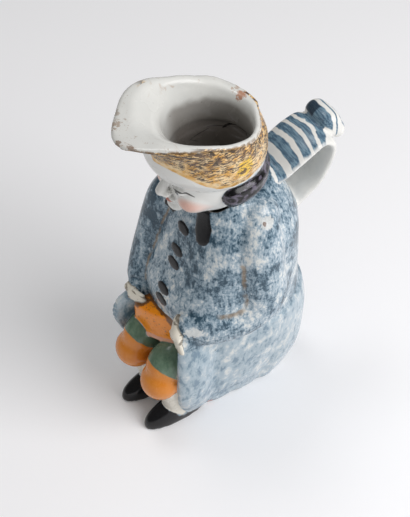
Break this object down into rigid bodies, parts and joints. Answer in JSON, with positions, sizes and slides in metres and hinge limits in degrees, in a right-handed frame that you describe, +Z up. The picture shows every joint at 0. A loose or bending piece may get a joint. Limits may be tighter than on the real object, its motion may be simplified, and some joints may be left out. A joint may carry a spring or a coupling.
{
  "type": "toby jug",
  "caption": "Hollow glazed earthenware jug shaped as a seated man in a long coat; the open hat is the mouth and spout, and a rolled strap handle joins its back.",
  "frame": {"origin": "middle of the foot, under the middle of the whole jug's box, on the surface it stands on", "axes": "+Z up; the spout and the figure's face point to -Y, the handle to +Y; the figure's left arm is at +X"},
  "size_m": [0.0991, 0.1566, 0.26],
  "materials": {
    "glaze": null
  },
  "bodies": {
    "root": {"jug": "glaze"}
  },
  "joints": []
}
